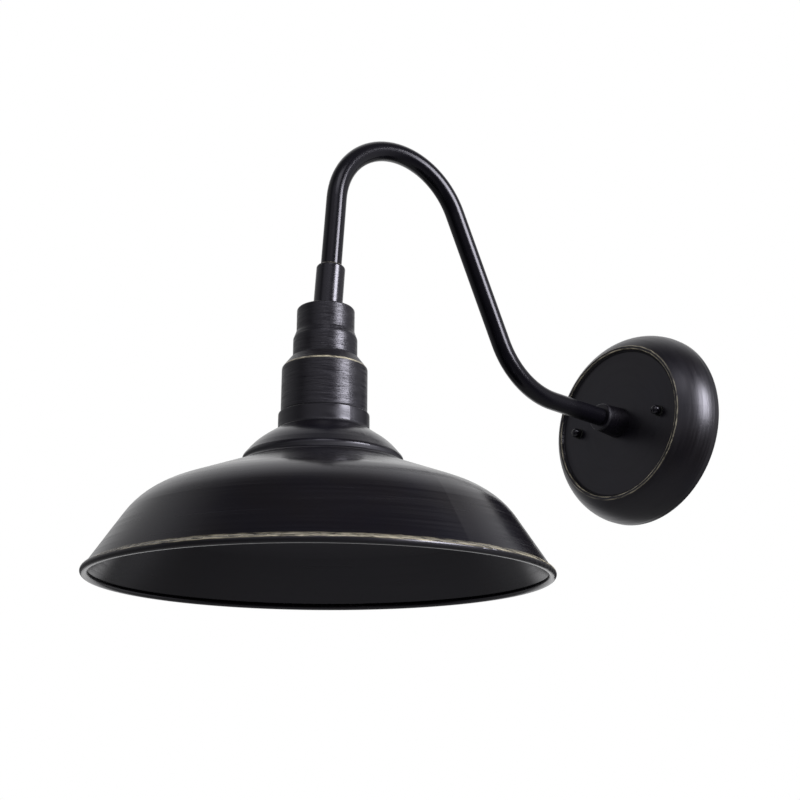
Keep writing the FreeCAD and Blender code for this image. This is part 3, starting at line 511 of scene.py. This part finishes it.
# Lacquer on a turned piece: fine rings, and a trace of plating on its top edge.
dress(rubbed_black("ferrule_lacquer", PIVOT, (0, 0, 0), worn=[FERRULE_TOP_EDGE], pitch=1.6 * MM,
                   stroke=0.02 * MM, gloss=(0.2, 0.3)), "arm_ferrule")

# ---- Domed seat that the neck hangs on ----
# Threaded nipple, washer and lock nut of zinc plated steel, and a nylon saddle washer between ferrule and
# dome.

SWIVEL_LOW, SWIVEL_HIGH = 4.12 * MM, 32.5 * MM
vertices, faces = threaded_pipe(SWIVEL_LOW, SWIVEL_HIGH)
piece("swivel_thread", [(vertices + np.array([0, PIVOT.y, 0]), faces)], zinc, "wall_unit",
      "swivel_nipple")
dress(zinc, "dome_washer", "swivel_lock_nut")
dress(nylon, "seat_washer")

# ---- Neck and shade ----
# Spun steel, lacquered black while turning.  The brush left fine rings, and the plating shows along the
# rolled rim and the neck's shoulder, where cloths and fingers rub.

TILT = math.radians(4.0)
PIVOT_H = 169.0328 * MM
rim_centre = PIVOT + Vector((0, math.sin(TILT), -math.cos(TILT))) * PIVOT_H
HANGING = (TILT, 0, 0)
# Circles on the shade: the rolled rim's top and side are worn; painted shade darkens the crease, the foot of
# the collar and the underside of the rim, and a broad band over the collar is rougher and a little darker.
RIM_TOP, RIM_SIDE = (150.7 * MM, 3.1 * MM, 1.9 * MM, 1.0), (152.0 * MM, 1.5 * MM, 1.3 * MM, 0.9)
CREASE, COLLAR_FOOT = (53.5 * MM, 77.4 * MM, 2.4 * MM, 0.8), (31.0 * MM, 99.9 * MM, 1.6 * MM, 0.7)
COLLAR, RIM_UNDER = (31.0 * MM, 105.5 * MM, 10.0 * MM, 0.32), (152.0 * MM, -1.2 * MM, 2.0 * MM, 0.7)
# Circles on the neck: its shoulder is worn; painted shade darkens the foot of its step and the seam where the
# shade's collar ends.
SHOULDER = (28.9 * MM, 143.8 * MM, 1.3 * MM, 1.0)
STEP_FOOT, SEAM = (23.2 * MM, 151.4 * MM, 1.6 * MM, 0.9), (29.4 * MM, 111.3 * MM, 1.1 * MM, 1.0)
# Rubbed lacquer on the wide shade: smooth and glossy, with hardly any relief and a broken gold rim.
dress(rubbed_black("shade_lacquer", rim_centre, HANGING, worn=[RIM_TOP, RIM_SIDE],
                   dull=[CREASE, COLLAR_FOOT, COLLAR, RIM_UNDER], pitch=2.4 * MM, stroke=0.014 * MM,
                   gloss=(0.16, 0.28), breaks=15.0), "shade")
# Rubbed lacquer on the neck: heavy brush rings that break its highlights, and a gold shoulder.
dress(rubbed_black("neck_lacquer", rim_centre, HANGING, worn=[SHOULDER], dull=[STEP_FOOT, SEAM],
                   pitch=2.1 * MM, stroke=0.5 * MM, gloss=(0.28, 0.44), breaks=4.0), "neck")

# ---- Lampholder ----
# Glazed porcelain body on a spot-welded strap, with a rolled brass screw shell, a sprung centre contact
# on its rivet, and binding screws: brass for the line, nickel plated for the neutral.

# Glazed porcelain: warm white, nearly smooth, with a clear gloss.
porcelain = mottled("glazed_porcelain", "#f1ede3", "#e4dfd2", patch=12 * MM, grain=2.2 * MM,
                    roughness=(0.08, 0.16), bump=0.01 * MM, IOR=1.52)
# Cold-rolled brass: yellow metal with a soft sheen and a little tarnish.
brass = mottled("rolled_brass", "#e0bd72", "#c39a4e", patch=8 * MM, grain=0.6 * MM,
                roughness=(0.2, 0.36), bump=0.004 * MM, Metallic=1.0)
# Nickel plate: warm grey metal, which tells the neutral screw from the line's.
nickel = mottled("nickel_plate", "#d5d0c6", "#bdb8ac", patch=6 * MM, grain=0.5 * MM,
                 roughness=(0.2, 0.34), bump=0.004 * MM, Metallic=1.0)
dress(porcelain, "lampholder")
dress(zinc, "holder_strap")
dress(brass, "centre_contact", "contact_rivet")


def on_head(part):
    """Takes a part from the shade's own frame, whose origin is on its axis at the rim, to where it hangs:
    turned by TILT about X and moved by rim_centre."""
    vertices, faces = part
    x, y, z = vertices.T
    return np.stack([x, rim_centre.y + y * math.cos(TILT) - z * math.sin(TILT),
                     rim_centre.z + y * math.sin(TILT) + z * math.cos(TILT)], -1), faces


SHELL_OUT, SHELL_T, SHELL_CORNER, SHELL_HOLE = 13.85 * MM, 0.5 * MM, 1.6 * MM, 7.0 * MM
SHELL_FLOOR, SHELL_MOUTH, SHELL_PITCH, SHELL_THREAD = 124.0 * MM, 101.0 * MM, 3.629 * MM, 0.8 * MM
WALL_ROWS, BEND_ROWS = 44, 6
THREAD_END = 2.2 * MM          # plain wall between the thread and the floor
outer = SHELL_CORNER + SHELL_T
wall = np.linspace(SHELL_MOUTH, SHELL_FLOOR - outer, WALL_ROWS)
bend = np.linspace(0, math.pi / 2, BEND_ROWS + 1)[1:]
radii = np.concatenate([np.full(WALL_ROWS, SHELL_OUT), SHELL_OUT - outer + outer * np.cos(bend),
                        [SHELL_HOLE] * 2,
                        SHELL_OUT - outer + SHELL_CORNER * np.cos(bend[::-1]),
                        np.full(WALL_ROWS, SHELL_OUT - SHELL_T)])
heights = np.concatenate([wall, SHELL_FLOOR - outer + outer * np.sin(bend),
                          [SHELL_FLOOR, SHELL_FLOOR - SHELL_T],
                          SHELL_FLOOR - outer + SHELL_CORNER * np.sin(bend[::-1]), wall[::-1]])


def rolled_thread(turns, height, row):
    """Rounded thread pressed inwards: half of depth times 1 - cos(2 pi (height / pitch - turns)), fading
    out over 0.4 pitch at the mouth and 0.6 pitch below the floor."""
    from_floor = np.clip((SHELL_FLOOR - THREAD_END - height) / (0.6 * SHELL_PITCH), 0, 1)
    from_mouth = np.clip((height - SHELL_MOUTH) / (0.4 * SHELL_PITCH), 0, 1)
    wave = (1 - np.cos(2 * np.pi * (height / SHELL_PITCH - turns))) / 2
    return SHELL_THREAD * from_floor * from_mouth * wave


shell = turned(radii, heights, closed=True, sides=64, ripple=rolled_thread)
piece("screw_shell_thread", [on_head(shell)], brass, "head", "screw_shell")

STRAP_T, STRAP_TOP, HOLDER_DEPTH = 1.2 * MM, 140.8 * MM, 7.0 * MM
HOLDER_SCREW_X, HOLDER_SCREW_R, HOLDER_HEAD_R, HOLDER_HEAD_T = 9.0 * MM, 1.75 * MM, 3.3 * MM, 2.0 * MM
TERMINAL_H, TERMINAL_R, TERMINAL_HEAD_R, TERMINAL_HEAD_T = 131.6 * MM, 1.6 * MM, 3.4 * MM, 1.8 * MM
TERMINAL_ROOT, TERMINAL_FACE = 13.0 * MM, 19.4 * MM
SCREW_TIP, SCREW_SLOT, SCREW_SLOT_DEPTH, SCREW_EDGE = 0.3 * MM, 1.0 * MM, 0.9 * MM, 0.35 * MM
INTO_HEAD = 0.2 * MM           # the shank ends inside the head
BLUNT, HEAD_REACH = 0.1, 0.995           # least half width, and reach of the slices, per head radius


def slotted_screw(root, face, shank, head_radius, thickness):
    """Slotted screw along Z: a shank from root to face and a round head, whose half width at y is
    sqrt(radius squared - y squared)."""
    def half_width(y):
        return np.sqrt(np.maximum(head_radius ** 2 - y ** 2, (BLUNT * head_radius) ** 2))
    return [turned([shank - SCREW_TIP, shank, shank], [root, root + SCREW_TIP, face + INTO_HEAD],
                   closed=False, sides=24),
            slotted_head(half_width, HEAD_REACH * head_radius, face, face + thickness, SCREW_SLOT,
                         SCREW_SLOT_DEPTH, SCREW_EDGE)]


holder_screw = slotted_screw(STRAP_TOP - STRAP_T - HOLDER_DEPTH, STRAP_TOP, HOLDER_SCREW_R, HOLDER_HEAD_R,
                             HOLDER_HEAD_T)
piece("slotted_holder_screws", [on_head((vertices + np.array([x, 0, 0]), faces))
                                for vertices, faces in holder_screw
                                for x in (-HOLDER_SCREW_X, HOLDER_SCREW_X)],
      zinc, "head", "holder_screws")
terminal_screw = slotted_screw(TERMINAL_ROOT, TERMINAL_FACE, TERMINAL_R, TERMINAL_HEAD_R, TERMINAL_HEAD_T)
for side, way, metal, finish in (("line", 1, brass, "brass"), ("neutral", -1, nickel, "nickel")):
    # The screw's Z axis is turned to point along Y, away from the lampholder.
    screw = [(np.stack([vertices[:, 0], way * vertices[:, 2], TERMINAL_H - way * vertices[:, 1]], -1), faces)
             for vertices, faces in terminal_screw]
    piece(side + "_binding_screw", [on_head(part) for part in screw], metal, "head",
          side + "_terminal_screw")

# ---- Leads ----
# Two stranded wires with thermoplastic insulation, black for the line and white for the neutral.  Each
# bends where the neck swings, so its shape is cut across there and its lower part goes with the neck.

DROP_Y = -250 * MM
MERGE, SNAP = 0.0005 * MM, 0.0001 * MM   # corners this near are one, or lie on the cut


def split_lead(side, material):
    """The CAD lead, merged and cut by the plane z = PIVOT.z on the arm's drop (y below DROP_Y), each cut
    filled: the part above rides on the arm, the part below on the neck and shade."""
    for part, body in (("upper", "wall_unit"), ("lower", "head")):
        shape = bmesh.new()
        shape.from_mesh(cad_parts[side + "_lead"].data)
        bmesh.ops.remove_doubles(shape, verts=shape.verts, dist=MERGE)
        drop = [corner for corner in shape.verts if corner.co.y < DROP_Y]
        drop += [item for item in [*shape.edges, *shape.faces]
                 if all(corner.co.y < DROP_Y for corner in item.verts)]
        bmesh.ops.bisect_plane(shape, geom=drop, dist=SNAP, plane_co=PIVOT, plane_no=(0, 0, 1))
        middles = [(face, face.calc_center_median()) for face in shape.faces]
        gone = [face for face, middle in middles
                if (middle.y < DROP_Y and middle.z < PIVOT.z) == (part == "upper")]
        bmesh.ops.delete(shape, geom=gone, context="FACES")
        bmesh.ops.holes_fill(shape, edges=[edge for edge in shape.edges if edge.is_boundary], sides=0)
        bmesh.ops.recalc_face_normals(shape, faces=shape.faces)
        shape.verts.index_update()
        points = np.array([corner.co for corner in shape.verts])
        faces = [tuple(corner.index for corner in face.verts) for face in shape.faces]
        shape.free()
        piece(side + "_lead_" + part, [(points, faces)], material, body, side + "_lead")


# PVC insulation: a smooth plastic with a soft sheen; the neutral's is a warm white.
for side, colour, light_tone, dark_tone in (("line", "black", "#1b1b1d", "#131314"),
                                            ("neutral", "white", "#e3e1da", "#d5d2c9")):
    pvc = mottled(colour + "_pvc", light_tone, dark_tone, patch=6 * MM, grain=0.5 * MM,
                  roughness=(0.35, 0.5), bump=0.004 * MM, IOR=1.5)
    split_lead(side, pvc)
